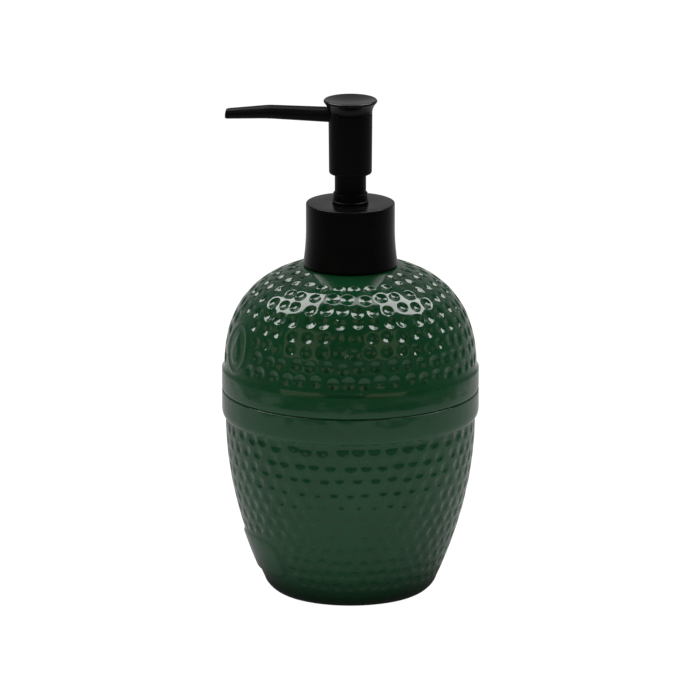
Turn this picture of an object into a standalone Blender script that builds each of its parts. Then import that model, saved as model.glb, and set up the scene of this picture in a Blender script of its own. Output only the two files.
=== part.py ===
"""Soap pump dispenser: a glazed ceramic bottle with a screw-on plastic lotion pump.

Metres, +Z up. The origin is the centre of the foot on the surface that the bottle stands on, and the
bottle's front faces -Y. Every joint lies on the bottle's upright axis: the collar screws on the plastic
neck, the plunger slides in the pump housing, and the head turns on the plunger.
"""

import math

import bmesh
import bpy
from mathutils import Matrix, Vector

MM = 0.001
TURN = 2 * math.pi

# Clearances
GAP = 0.3 * MM            # between two faces that rest on each other
FIT = 0.1 * MM            # radial, between a piece and the bore that holds or guides it

# Bottle: lower wall, two bands and dome, from the foot upwards
BODY_R = 47.0 * MM        # lower wall where it meets the bands
WALL_DRAW = 14.5 * MM     # how far the lower wall draws in towards the foot
WALL_POWER = 1.96
WALL_TOP = 67.0 * MM
CORNER_H = 4.8 * MM       # rounded corner between lower wall and foot
CORNER_W = 4.9 * MM
CORNER_POWER = 1.4
BAND_PROUD = 1.4 * MM     # bands stand this far out of the lower wall
LOWER_BAND_H = 10.8 * MM
UPPER_BAND_H = 8.2 * MM
GROOVE_DEPTH = 0.5 * MM
BAND_ROLL_H = 4.0 * MM    # height over which the lower band's foot is rolled in to the wall
DOME_RISE = 39.3 * MM     # from the top of the bands to the flat shoulder
DOME_SINK = 2.9 * MM      # the dome's widest circle lies this far below the bands' top
DOME_SPARE = 1.4 * MM     # the dome's curve would peak this far above the flat shoulder
DOME_PROUD = 0.6 * MM
DOME_POWER = 2.58
WALL = 4.2 * MM           # ceramic wall
FLOOR = 5.0 * MM
FOOT_RING_W = 4.5 * MM
FOOT_RECESS = 1.2 * MM
MOUTH_R = 11.8 * MM
MOUTH_WALL = 1.7 * MM

# Plastic neck glued into the mouth, with its one-start right-hand thread
INSERT_WALL = 1.8 * MM
INSERT_LAP = 12.0 * MM    # length of the sleeve inside the ceramic mouth
INSERT_FLANGE_T = 1.5 * MM
NECK_H = 11.0 * MM        # threaded height above the insert's flange
NECK_STEP = 0.75 * MM     # the root of the thread stands this far out of the mouth's bore
THREAD_PITCH = 4.23 * MM
THREAD_TURNS = 1.25
THREAD_DEPTH = 1.05 * MM
THREAD_HALF_WIDTH = 0.85 * MM
THREAD_CLEARANCE = 0.2 * MM

# Screw collar: outer shell over a threaded cap
COLLAR_LIFT = 0.6 * MM    # the tightened collar stops this far above the shoulder
COLLAR_H = 23.6 * MM
SHELL_WALL = 1.3 * MM
SHELL_TOP = 1.2 * MM
SHELL_FLARE = 1.1 * MM
SHELL_FLARE_H = 14.0 * MM
SHELL_EDGE_R = 0.5 * MM
CAP_WALL = 1.5 * MM
CAP_TOP = 1.2 * MM
CAP_SKIRT_H = 12.5 * MM
GASKET_T = 0.9 * MM

# Pump housing
STROKE = 6.8 * MM
CYLINDER_R = 6.5 * MM     # bore that the piston runs in
HOUSING_WALL = 1.2 * MM
FLANGE_T = 1.0 * MM
SPRING_LENGTH = 20.0 * MM
BALL_R = 2.4 * MM
BALL_LIFT = 1.5 * MM
BALL_HOLE_R = 1.5 * MM
BALL_CHAMBER_R = 3.3 * MM
SOCKET_DEPTH = 11.0 * MM
SOCKET_WALL = 1.2 * MM
WEB_T = 1.5 * MM
TUBE_R = 2.95 * MM
TUBE_WALL = 0.75 * MM
TUBE_FLOOR_GAP = 3.0 * MM

# Chaplet: guide ring in the housing's mouth, its lip standing out of the collar
LIP_H = 3.9 * MM
LIP_WALL = 0.45 * MM
BEAD_PROUD = 0.4 * MM
BEAD_H = 0.7 * MM
CHAPLET_WALL = 1.1 * MM
CHAPLET_FLOOR_T = 1.5 * MM

# Plunger
ROD_R = 3.6 * MM
ROD_WALL = 1.5 * MM
ROD_FLANGE_R = 5.4 * MM
ROD_FLANGE_T = 1.2 * MM
PISTON_H = 6.5 * MM
PISTON_SLIP = 1.2 * MM
PORT_R = 0.9 * MM
SEAT_FLANGE_R = 4.6 * MM
SEAT_FLANGE_T = 1.3 * MM
SEAT_PLUG_H = 3.5 * MM
SPIGOT_H = 2.5 * MM
SPIGOT_R = 2.5 * MM
WIRE_R = 0.4 * MM
COIL_R = 3.7 * MM
COIL_TURNS = 8
CAGE_T = 3.0 * MM

# Head
SLEEVE_R = 5.9 * MM
SLEEVE_LAP = 1.9 * MM     # the sleeve reaches this far into the chaplet's lip at rest
BARREL_STEP = 2.15 * MM   # the barrel's foot stands this far out of the sleeve
BARREL_DRAFT = 0.2 * MM   # and its top this far out of its foot
BARREL_H = 22.9 * MM
BARREL_WALL = 1.1 * MM
BARREL_FLOOR = 1.5 * MM
BARREL_EDGE_R = 0.9 * MM
PRESS_MARGIN = 0.5 * MM   # barrel to lip when the head is fully down
CORE_BORE_H = 25.0 * MM   # length of the rod's socket in the core
CHANNEL_R = 1.6 * MM
CAP_H = 5.5 * MM
CAP_OVERHANG = 1.85 * MM
CAP_RIM_ROUND = 0.65 * MM
CAP_DISH = 1.1 * MM
CAP_PLATE = 1.3 * MM
CAP_PLUG_WALL = 1.1 * MM
CAP_PLUG_H = 5.5 * MM

# Spout, measured outwards from the bottle's axis
SPOUT_DROP = 0.7 * MM     # centre line below the seam between barrel and cap
SPOUT_R = 2.9 * MM
SPOUT_BEND_R = 2.65 * MM
SPOUT_TIP_R = 2.05 * MM
SPOUT_BORE_R = 1.3 * MM
SPOUT_START = 2.5 * MM
SPOUT_BEND = 31.5 * MM
SPOUT_REACH = 47.8 * MM
SPOUT_DIP = math.radians(5.4)
HEAD_TURN = math.radians(-35)

# Places that follow from the sizes above
lower_band_top = WALL_TOP + LOWER_BAND_H
bands_top = lower_band_top + UPPER_BAND_H
shoulder_z = bands_top + DOME_RISE
collar_z = shoulder_z + COLLAR_LIFT
collar_top = collar_z + COLLAR_H
cap_top = collar_top - SHELL_TOP - GAP
flange_top = cap_top - CAP_TOP - GAP
gasket_top = flange_top - FLANGE_T - GAP
rim_z = gasket_top - GASKET_T - GAP
insert_flange_z = rim_z - NECK_H - INSERT_FLANGE_T
mouth_z = insert_flange_z - GAP
floor_z = FOOT_RECESS + FLOOR

lip_top = collar_top + LIP_H
sleeve_z = lip_top - SLEEVE_LAP
chaplet_floor_z = sleeve_z - STROKE - GAP
chaplet_z = chaplet_floor_z - CHAPLET_FLOOR_T
rod_flange_z = chaplet_z - GAP - ROD_FLANGE_T
piston_top = rod_flange_z - PISTON_SLIP - GAP
piston_z = piston_top - PISTON_H
seat_top = piston_z - GAP
seat_z = seat_top - SEAT_FLANGE_T
spring_top = seat_z - GAP
spring_z = spring_top - SPRING_LENGTH
cage_top = spring_z - GAP
cage_z = cage_top - CAGE_T
ball_z = cage_z - GAP - BALL_LIFT - BALL_R
seat_cone_r = BALL_CHAMBER_R - BALL_HOLE_R
seat_line = math.sqrt(2) * (BALL_R + FIT)     # a 45 degree cone one clearance off the ball
ball_hole_top = ball_z - seat_line + BALL_HOLE_R
socket_top = ball_hole_top - WEB_T
socket_z = socket_top - SOCKET_DEPTH

barrel_z = lip_top + STROKE + PRESS_MARGIN
seam_z = barrel_z + BARREL_H
spout_z = seam_z - SPOUT_DROP
core_shoulder_z = barrel_z + BARREL_FLOOR + GAP
rod_top = sleeve_z + CORE_BORE_H - GAP
head_top = seam_z + CAP_H
cap_under_z = head_top - CAP_DISH - CAP_PLATE
core_top = cap_under_z - GAP

neck_r = MOUTH_R + NECK_STEP
thread_crest = neck_r + THREAD_DEPTH
cap_bore = thread_crest + THREAD_CLEARANCE
cap_outer = cap_bore + CAP_WALL
shell_bore = cap_outer + FIT
shell_r = shell_bore + SHELL_WALL
neck_bore = MOUTH_R - FIT - INSERT_WALL
chaplet_bore = SLEEVE_R + FIT
chaplet_r = chaplet_bore + CHAPLET_WALL
lip_r = chaplet_bore + LIP_WALL
collar_hole = lip_r + 2 * FIT
barrel_foot_r = SLEEVE_R + BARREL_STEP
barrel_top_r = barrel_foot_r + BARREL_DRAFT
barrel_bore = barrel_top_r - BARREL_WALL
core_boss_r = barrel_bore - FIT - CAP_PLUG_WALL - GAP
cap_rim_r = barrel_top_r + CAP_OVERHANG


def material(name, colour, roughness, metallic=0.0):
    """A Principled material of one colour."""
    made = bpy.data.materials.new(name)
    made.use_nodes = True
    shader = made.node_tree.nodes["Principled BSDF"]
    shader.inputs["Base Color"].default_value = (*colour, 1)
    shader.inputs["Roughness"].default_value = roughness
    shader.inputs["Metallic"].default_value = metallic
    return made


def axis_empty(name, turn=0.0):
    """An empty on the bottle's upright axis, which the pieces of one moving group hang on."""
    empty = bpy.data.objects.new(name, None)
    empty.rotation_euler.z = turn
    bpy.context.collection.objects.link(empty)
    return empty


def finish(name, bm, finish_material, parent=None):
    """Turns a bmesh into a named object with outward faces, smooth but for its edges."""
    bmesh.ops.recalc_face_normals(bm, faces=bm.faces)
    mesh = bpy.data.meshes.new(name)
    bm.to_mesh(mesh)
    bm.free()
    mesh.shade_smooth()
    mesh.set_sharp_from_angle(angle=math.radians(35))
    mesh.materials.append(finish_material)
    piece = bpy.data.objects.new(name, mesh)
    bpy.context.collection.objects.link(piece)
    piece.parent = parent
    return piece


def turned(name, outline, segments, finish_material, parent=None, reshape=None):
    """A piece turned about the Z axis from an outline of (radius, height) points.

    The outline closes on itself unless both its ends lie on the axis. reshape gives a new radius from
    a vertex's radius, angle and height.
    """
    bm = bmesh.new()
    points = [bm.verts.new((r, 0, z)) for r, z in outline]
    pairs = list(zip(points, points[1:]))
    if outline[0][0] > 0 or outline[-1][0] > 0:
        pairs.append((points[-1], points[0]))
    edges = [bm.edges.new(pair) for pair in pairs]
    bmesh.ops.spin(bm, geom=points + edges, axis=(0, 0, 1), cent=(0, 0, 0), angle=TURN,
                   steps=segments, use_merge=True)
    bmesh.ops.remove_doubles(bm, verts=bm.verts, dist=0.001 * MM)
    if reshape:
        for vertex in bm.verts:
            x, y, z = vertex.co
            radius = math.hypot(x, y)
            new_radius = reshape(radius, math.atan2(y, x) % TURN, z)
            vertex.co = Vector((x, y, 0)).normalized() * new_radius + Vector((0, 0, z))
    return finish(name, bm, finish_material, parent)


def arc(centre_r, centre_z, radius, start, end, steps):
    """Points of a round stretch, from the start angle to the end angle in degrees."""
    angles = [math.radians(start + (end - start) * i / steps) for i in range(steps + 1)]
    return [(centre_r + radius * math.cos(a), centre_z + radius * math.sin(a)) for a in angles]


def spread(start, end, count):
    """Evenly spaced values from start to end, both included."""
    return [start + (end - start) * i / (count - 1) for i in range(count)]


def wall_radius(z):
    """Outer radius of the lower wall: it draws in towards the foot as a power of the depth."""
    depth = (WALL_TOP - z) / (WALL_TOP - CORNER_H)
    return BODY_R - WALL_DRAW * max(depth, 0.0) ** WALL_POWER


def corner_radius(z):
    """Outer radius of the rounded corner between the lower wall and the foot."""
    depth = (CORNER_H - z) / CORNER_H
    foot = wall_radius(CORNER_H) - CORNER_W
    return foot + CORNER_W * (1 - depth ** CORNER_POWER) ** (1 / CORNER_POWER)


def dome(radius, base_z, peak_z, start, end, steps):
    """Points of a dome whose outline is a superellipse, between two shares of its height."""
    points = []
    for share in spread(math.asin(start), math.asin(end), steps):
        height = math.sin(share)
        points.append((radius * (1 - height ** DOME_POWER) ** (1 / DOME_POWER),
                       base_z + height * (peak_z - base_z)))
    return points


def bottle_outline():
    """The ceramic's outline: under the foot, up the outside, over the mouth and down the inside."""
    foot_r = corner_radius(0)
    foot = [(0, FOOT_RECESS), (foot_r - FOOT_RING_W, FOOT_RECESS), (foot_r - FOOT_RING_W, 0)]
    corner = [(corner_radius(z), z) for z in (0, 0.12 * CORNER_H, 0.4 * CORNER_H)]
    wall = [(wall_radius(z), z) for z in spread(CORNER_H, WALL_TOP - 1 * MM, 8)]
    band_r = BODY_R + BAND_PROUD
    roll = [
        (BODY_R + BAND_PROUD * (0.15 + 0.85 * math.sin(share * TURN / 4)),
         WALL_TOP + BAND_ROLL_H * (0.17 + 0.83 * share))
        for share in (0, 0.25, 0.55, 1)
    ]
    bands = [
        *roll,
        (band_r, lower_band_top - 0.6 * MM),
        (band_r - GROOVE_DEPTH, lower_band_top),
        (band_r - 0.2 * GROOVE_DEPTH, lower_band_top + 1 * MM),
        (band_r, lower_band_top + 2 * MM),
        (band_r, bands_top),
        (BODY_R + DOME_PROUD + 0.2 * MM, bands_top + 1.1 * MM),
    ]
    base_z = bands_top - DOME_SINK
    peak_z = shoulder_z + DOME_SPARE
    start = (DOME_SINK + 3 * MM) / (peak_z - base_z)
    end = (shoulder_z - base_z) / (peak_z - base_z)
    outer_dome = dome(BODY_R + DOME_PROUD, base_z, peak_z, start, end, 9)
    mouth_r = MOUTH_R + MOUTH_WALL
    mouth = [(mouth_r, shoulder_z), (mouth_r, mouth_z - 0.5 * MM), (mouth_r - 0.5 * MM, mouth_z)]
    inner_peak = shoulder_z - WALL
    inner_base = lower_band_top
    inner_dome = dome(BODY_R + DOME_PROUD - WALL, inner_base, inner_peak, 0, 0.96, 6)
    inner_dome = [point for point in reversed(inner_dome) if point[0] > MOUTH_R + 3 * MM]
    bore = [(MOUTH_R, mouth_z), (MOUTH_R, inner_peak)]
    inner_wall = [(wall_radius(z) - WALL, z) for z in spread(WALL_TOP, floor_z + 5 * MM, 5)]
    inner_foot = wall_radius(floor_z + 5 * MM) - WALL
    inner_floor = [(inner_foot - 1.8 * MM, floor_z + 1.5 * MM), (inner_foot - 6 * MM, floor_z),
                   (0, floor_z)]
    outside = foot + corner + wall + bands + outer_dome + mouth
    return outside + bore + inner_dome + inner_wall + inner_floor


def thread_height(angle, z, start_z):
    """Height of a one-start helical ridge, 1 on its crest and fading out at both its ends."""
    lap = round((z - start_z) / THREAD_PITCH - angle / TURN)
    along = angle / TURN + lap
    away = abs(z - start_z - THREAD_PITCH * along) / THREAD_HALF_WIDTH
    if away >= 1:
        return 0.0
    fade = min(1.0, max(0.0, 8 * along), max(0.0, 8 * (THREAD_TURNS - along)))
    return fade * min(1.0, 2 * (1 - away))


def neck_thread(radius, angle, z):
    """Raises the thread on the plastic neck's outside."""
    if abs(radius - neck_r) > FIT:
        return radius
    return radius + THREAD_DEPTH * thread_height(angle, z, rim_z - 8.0 * MM)


def cap_thread(radius, angle, z):
    """Raises the thread on the cap's bore, half a pitch below the neck's."""
    if abs(radius - cap_bore) > FIT:
        return radius
    return radius - THREAD_DEPTH * thread_height(angle, z, rim_z - 8.0 * MM - THREAD_PITCH / 2)


def clover(radius, angle, narrow, wide, low_z, high_z, z):
    """Opens the four lobes of a clover-shaped hole, or cuts the four flutes of a plug."""
    inside = low_z - FIT < z < high_z + FIT and abs(radius - narrow) < FIT
    return wide if inside and math.cos(4 * angle) < -0.2 else radius


def build_bottle(ceramic, neck_plastic):
    """The bottle and the threaded neck that is glued into its mouth."""
    turned("bottle", bottle_outline(), 48, ceramic)
    sleeve_r = MOUTH_R - FIT
    flange_r = MOUTH_R + MOUTH_WALL
    levels = [(neck_r, z) for z in spread(rim_z - NECK_H + 0.4 * MM, rim_z - 0.6 * MM, 17)]
    outline = [
        (neck_bore, mouth_z - INSERT_LAP), (sleeve_r, mouth_z - INSERT_LAP),
        (sleeve_r, insert_flange_z), (flange_r, insert_flange_z),
        (flange_r, insert_flange_z + INSERT_FLANGE_T), *levels, (neck_r - 0.6 * MM, rim_z),
        (neck_bore, rim_z),
    ]
    turned("neck_insert", outline, 36, neck_plastic, reshape=neck_thread)


def build_collar(black, axis):
    """The outer shell and the threaded cap snapped into it."""
    flare = [
        (shell_r + SHELL_FLARE * (1 - (z - collar_z) / SHELL_FLARE_H) ** 2, z)
        for z in spread(collar_z, collar_z + SHELL_FLARE_H, 5)
    ]
    edge = arc(shell_r - SHELL_EDGE_R, collar_top - SHELL_EDGE_R, SHELL_EDGE_R, 0, 90, 3)
    inside = [(collar_hole, collar_top), (collar_hole, collar_top - SHELL_TOP),
              (shell_bore, collar_top - SHELL_TOP), (shell_bore, collar_z)]
    turned("collar_shell", flare + edge + inside, 40, black, axis)
    skirt_z = cap_top - CAP_SKIRT_H
    levels = [(cap_bore, z) for z in spread(skirt_z + 0.4 * MM, cap_top - CAP_TOP - 0.6 * MM, 17)]
    outline = [
        (cap_bore + 0.4 * MM, skirt_z), *levels, (cap_bore, cap_top - CAP_TOP),
        (collar_hole, cap_top - CAP_TOP), (collar_hole, cap_top), (cap_outer, cap_top),
        (cap_outer, skirt_z),
    ]
    turned("collar_cap", outline, 36, black, axis, reshape=cap_thread)


def build_pump_body(natural, black, steel, foam, axis):
    """What stays still in the neck: gasket, housing, chaplet, ball cage, spring and dip tube."""
    flange_r = neck_r - 0.2 * MM
    outline = [(neck_bore, gasket_top - GASKET_T), (flange_r, gasket_top - GASKET_T),
               (flange_r, gasket_top), (neck_bore, gasket_top)]
    turned("gasket", outline, 36, foam, axis)

    mouth_bore = chaplet_r + FIT
    mouth_outer = mouth_bore + HOUSING_WALL
    step_z = chaplet_z - GAP
    cylinder_outer = CYLINDER_R + HOUSING_WALL
    socket_bore = TUBE_R + FIT
    socket_outer = socket_bore + SOCKET_WALL
    cone_top = ball_hole_top + seat_cone_r
    outline = [
        (socket_bore, socket_z), (socket_outer, socket_z), (socket_outer, ball_hole_top - WEB_T),
        (cylinder_outer, cage_z - 2 * MM), (cylinder_outer, step_z - HOUSING_WALL), (mouth_outer, step_z),
        (mouth_outer, flange_top - FLANGE_T), (flange_r, flange_top - FLANGE_T), (flange_r, flange_top),
        (mouth_bore, flange_top), (mouth_bore, step_z), (CYLINDER_R, step_z), (CYLINDER_R, cage_z - GAP),
        (BALL_CHAMBER_R, cage_z - GAP), (BALL_CHAMBER_R, cone_top), (BALL_HOLE_R, ball_hole_top),
        (BALL_HOLE_R, socket_top), (socket_bore, socket_top),
    ]
    turned("pump_housing", outline, 32, natural, axis)

    bead_z = collar_top + GAP
    bead = [(lip_r, bead_z), (lip_r + BEAD_PROUD, bead_z + 0.2 * MM), (lip_r + BEAD_PROUD, bead_z + 0.5 * MM),
            (lip_r, bead_z + BEAD_H)]
    outline = [
        (ROD_R + FIT, chaplet_z), (chaplet_r, chaplet_z), (chaplet_r, flange_top), (lip_r, flange_top), *bead,
        (lip_r, lip_top - 0.15 * MM), (lip_r - 0.15 * MM, lip_top), (chaplet_bore, lip_top),
        (chaplet_bore, chaplet_floor_z), (ROD_R + FIT, chaplet_floor_z),
    ]
    turned("chaplet", outline, 32, black, axis)

    hole_r = BALL_R * 0.7
    lobe_r = BALL_R * 1.25
    pocket_r = COIL_R + WIRE_R + 3 * FIT
    outline = [(hole_r, cage_z), (CYLINDER_R - FIT, cage_z), (CYLINDER_R - FIT, cage_top + 1 * MM),
               (pocket_r, cage_top + 1 * MM), (pocket_r, cage_top), (hole_r, cage_top)]
    turned("ball_cage", outline, 32, natural, axis,
           reshape=lambda r, a, z: clover(r, a, hole_r, lobe_r, cage_z, cage_top, z))

    tube_bore = TUBE_R - TUBE_WALL
    tube_z = floor_z + TUBE_FLOOR_GAP
    bm = bmesh.new()
    sides = 20
    tube_top = socket_top - GAP
    rings = [(TUBE_R, tube_z, 1), (TUBE_R, tube_top, 0), (tube_bore, tube_top, 0), (tube_bore, tube_z, 1)]
    loops = []
    for radius, z, slanted in rings:
        corners = [radius * u for u in unit_circle(sides)]
        loops.append([bm.verts.new((x, y, z + slanted * 0.6 * (x + TUBE_R))) for x, y in corners])
    bridge(bm, loops, closed=True)
    finish("dip_tube", bm, natural, axis)

    build_spring(steel, axis)


def unit_circle(sides):
    """Evenly spaced points of a circle of radius 1, as 2-D vectors."""
    return [Vector((math.cos(TURN * i / sides), math.sin(TURN * i / sides))) for i in range(sides)]


def bridge(bm, loops, closed):
    """Joins a row of rings of vertices with quads, and the last ring to the first if closed."""
    pairs = list(zip(loops, loops[1:]))
    if closed:
        pairs.append((loops[-1], loops[0]))
    for first, second in pairs:
        count = len(first)
        for i in range(count):
            j = (i + 1) % count
            bm.faces.new((first[i], first[j], second[j], second[i]))


def build_spring(steel, axis):
    """The return spring: a round wire carried along a helix, its end coils wound closer."""
    steps = COIL_TURNS * 12
    sides = 6
    low = spring_z + WIRE_R
    travel = SPRING_LENGTH - 2 * WIRE_R
    bm = bmesh.new()
    loops = []
    for i in range(steps + 1):
        share = i / steps
        angle = TURN * COIL_TURNS * share
        rise = share - 0.07 * math.sin(2 * TURN * share) / 2 - 0.05 * math.sin(TURN * share)
        outward = Vector((math.cos(angle), math.sin(angle), 0))
        centre = outward * COIL_R + Vector((0, 0, low + travel * rise))
        upward = Vector((0, 0, 1))
        corners = [WIRE_R * (u * outward + v * upward) for u, v in unit_circle(sides)]
        loops.append([bm.verts.new(centre + corner) for corner in corners])
    bridge(bm, loops, closed=False)
    bm.faces.new(loops[0])
    bm.faces.new(loops[-1])
    finish("return_spring", bm, steel, axis)


def build_plunger(natural, axis):
    """The hollow rod with its two ports, and the fluted plug that closes its lower end."""
    rod_bore = ROD_R - ROD_WALL
    outline = [
        (rod_bore, seat_top + GAP), (ROD_R, seat_top + GAP), (ROD_R, rod_flange_z),
        (ROD_FLANGE_R, rod_flange_z), (ROD_FLANGE_R, rod_flange_z + ROD_FLANGE_T),
        (ROD_R, rod_flange_z + ROD_FLANGE_T), (ROD_R, rod_top), (rod_bore, rod_top),
    ]
    rod = turned("piston_rod", outline, 28, natural, axis)
    bm = bmesh.new()
    place = Matrix.Translation((0, 0, piston_z + 1.6 * MM)) @ Matrix.Rotation(TURN / 4, 4, "Y")
    bmesh.ops.create_cone(bm, cap_ends=True, segments=12, radius1=PORT_R, radius2=PORT_R,
                          depth=3 * ROD_R, matrix=place)
    cut([rod], finish("port_drill", bm, natural, axis))

    plug_r = rod_bore - FIT
    flute_r = 0.55 * plug_r
    plug_top = seat_top + SEAT_PLUG_H
    spigot_z = seat_z - SPIGOT_H
    outline = [(0, spigot_z), (SPIGOT_R - 0.4 * MM, spigot_z), (SPIGOT_R, spigot_z + 0.4 * MM),
               (SPIGOT_R, seat_z), (SEAT_FLANGE_R, seat_z), (SEAT_FLANGE_R, seat_top), (plug_r, seat_top),
               (plug_r, plug_top), (0, plug_top)]
    turned("rod_seat", outline, 24, natural, axis,
           reshape=lambda r, a, z: clover(r, a, plug_r, flute_r, seat_top, plug_top, z))


def build_piston(natural, axis):
    """The piston: a hub on the rod with a thin sealing lip up and another down."""
    hub_r = ROD_R + FIT
    seal_r = CYLINDER_R - FIT
    web_low = piston_z + 0.4 * PISTON_H
    web_high = piston_z + 0.6 * PISTON_H
    lip = 0.7 * MM
    outline = [
        (hub_r, piston_z), (hub_r + lip, piston_z), (hub_r + lip, web_low), (seal_r - 2 * lip, web_low),
        (seal_r - lip, piston_z + 0.5 * MM), (seal_r, piston_z + 0.5 * MM), (seal_r - 2 * FIT, web_low),
        (seal_r - 2 * FIT, web_high), (seal_r, piston_top - 0.5 * MM), (seal_r - lip, piston_top - 0.5 * MM),
        (seal_r - 2 * lip, web_high), (hub_r + lip, web_high), (hub_r + lip, piston_top), (hub_r, piston_top),
    ]
    turned("piston", outline, 32, natural, axis)


def build_inlet_ball(steel, axis):
    """The steel ball that closes the housing's inlet."""
    bm = bmesh.new()
    bmesh.ops.create_uvsphere(bm, u_segments=16, v_segments=10, radius=BALL_R)
    ball = finish("inlet_ball", bm, steel, axis)
    ball.location.z = ball_z


def cut(pieces, tool):
    """Cuts the tool's shape out of each piece, and leaves the tool as a hidden guide."""
    tool.hide_render = True
    tool.display_type = "WIRE"
    for piece in pieces:
        boolean = piece.modifiers.new(tool.name, "BOOLEAN")
        boolean.operation = "DIFFERENCE"
        boolean.solver = "EXACT"
        boolean.object = tool


def build_head(black, axis):
    """The head: barrel, core and cap, with the spout pressed sideways through all three."""
    edge = arc(barrel_foot_r - BARREL_EDGE_R, barrel_z + BARREL_EDGE_R, BARREL_EDGE_R, 0, -90, 4)
    sleeve_hole = SLEEVE_R + FIT
    outline = [(barrel_top_r, seam_z), *edge, (sleeve_hole, barrel_z), (sleeve_hole, barrel_z + BARREL_FLOOR),
               (barrel_bore, barrel_z + BARREL_FLOOR), (barrel_bore, seam_z)]
    barrel = turned("head_barrel", outline, 40, black, axis)

    core_r = barrel_bore - FIT
    neck_z = cap_under_z - CAP_PLUG_H - 2 * GAP
    bore_r = ROD_R + FIT
    outline = [
        (bore_r, sleeve_z), (SLEEVE_R, sleeve_z), (SLEEVE_R, core_shoulder_z), (core_r, core_shoulder_z),
        (core_r, neck_z), (core_boss_r, neck_z), (core_boss_r, core_top), (0, core_top),
        (0, spout_z + CHANNEL_R), (CHANNEL_R, spout_z + CHANNEL_R), (CHANNEL_R, rod_top + GAP),
        (bore_r, rod_top + GAP),
    ]
    core = turned("head_core", outline, 32, black, axis)

    rim = arc(cap_rim_r - CAP_RIM_ROUND, head_top - CAP_RIM_ROUND, CAP_RIM_ROUND, -50, 110, 6)
    flare_z = seam_z + GAP
    flare_w = rim[0][0] - barrel_top_r
    flare_h = rim[0][1] - flare_z
    flare = [(barrel_top_r + flare_w * share ** 2.2, flare_z + flare_h * share)
             for share in spread(0, 0.85, 5)]
    dish_r = rim[-1][0]
    dish = [(dish_r * share, head_top - CAP_DISH * (1 - share ** 2)) for share in spread(0.8, 0, 4)]
    plug_r = barrel_bore - FIT
    plug_z = cap_under_z - CAP_PLUG_H
    outline = [*flare, *rim, *dish, (0, cap_under_z), (plug_r - CAP_PLUG_WALL, cap_under_z),
               (plug_r - CAP_PLUG_WALL, plug_z), (plug_r, plug_z), (plug_r, flare_z)]
    cap = turned("head_cap", outline, 40, black, axis)

    bm = bmesh.new()
    drill_r = SPOUT_R + FIT
    drill_start = 0.75 * CHANNEL_R
    drill_length = cap_rim_r + 2 * MM - drill_start
    middle = Matrix.Translation((0, -drill_start - drill_length / 2, spout_z))
    place = middle @ Matrix.Rotation(TURN / 4, 4, "X")
    bmesh.ops.create_cone(bm, cap_ends=True, segments=24, radius1=drill_r, radius2=drill_r,
                          depth=drill_length, matrix=place)
    cut([barrel, core, cap], finish("spout_drill", bm, black, axis))
    build_spout(black, axis)


def build_spout(black, axis):
    """The spout: a tapering tube that runs level, then dips from its bend to the tip."""
    sides = 16
    level = Vector((0, -1, 0))
    dipping = Vector((0, -math.cos(SPOUT_DIP), -math.sin(SPOUT_DIP)))
    bend = Vector((0, -SPOUT_BEND, spout_z))
    outer_length = (SPOUT_REACH - SPOUT_BEND) / math.cos(SPOUT_DIP)
    stations = [(Vector((0, -SPOUT_START, spout_z)), level, SPOUT_R),
                (Vector((0, -barrel_top_r - 1 * MM, spout_z)), level, SPOUT_R),
                (bend - 2 * MM * level, level, SPOUT_BEND_R),
                (bend + 2 * MM * dipping, dipping, SPOUT_BEND_R - 0.1 * MM),
                (bend + (outer_length - 0.3 * MM) * dipping, dipping, SPOUT_TIP_R),
                (bend + outer_length * dipping, dipping, SPOUT_TIP_R - 0.3 * MM)]
    bm = bmesh.new()

    def ring(centre, direction, radius):
        upward = Vector((1, 0, 0)).cross(direction)
        sideways = Vector((1, 0, 0))
        corners = [radius * (u * sideways + v * upward) for u, v in unit_circle(sides)]
        return [bm.verts.new(centre + corner) for corner in corners]

    outer = [ring(*station) for station in stations]
    inner = [ring(centre, direction, SPOUT_BORE_R) for centre, direction, _ in reversed(stations)]
    bridge(bm, outer + inner, closed=True)
    finish("spout", bm, black, axis)


def main():
    """Builds every piece, each moving group hung on its own empty."""
    for old in list(bpy.data.objects):
        bpy.data.objects.remove(old)
    ceramic = material("green_glaze", (0.008, 0.10, 0.035), 0.12)
    black = material("black_plastic", (0.012, 0.012, 0.012), 0.42)
    neck_plastic = material("neck_plastic", (0.75, 0.76, 0.74), 0.45)
    natural = material("natural_plastic", (0.82, 0.83, 0.80), 0.40)
    steel = material("spring_steel", (0.60, 0.60, 0.58), 0.25, metallic=1.0)
    foam = material("seal_foam", (0.85, 0.85, 0.82), 0.90)

    pump_axis = axis_empty("pump_axis")
    collar_axis = axis_empty("collar_axis")
    plunger_axis = axis_empty("plunger_axis")
    head_axis = axis_empty("head_axis", HEAD_TURN)
    collar_axis.parent = pump_axis
    plunger_axis.parent = pump_axis
    head_axis.parent = plunger_axis

    build_bottle(ceramic, neck_plastic)
    build_collar(black, collar_axis)
    build_pump_body(natural, black, steel, foam, pump_axis)
    build_inlet_ball(steel, pump_axis)
    build_plunger(natural, plunger_axis)
    build_piston(natural, plunger_axis)
    build_head(black, head_axis)


main()
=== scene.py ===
import math

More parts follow.
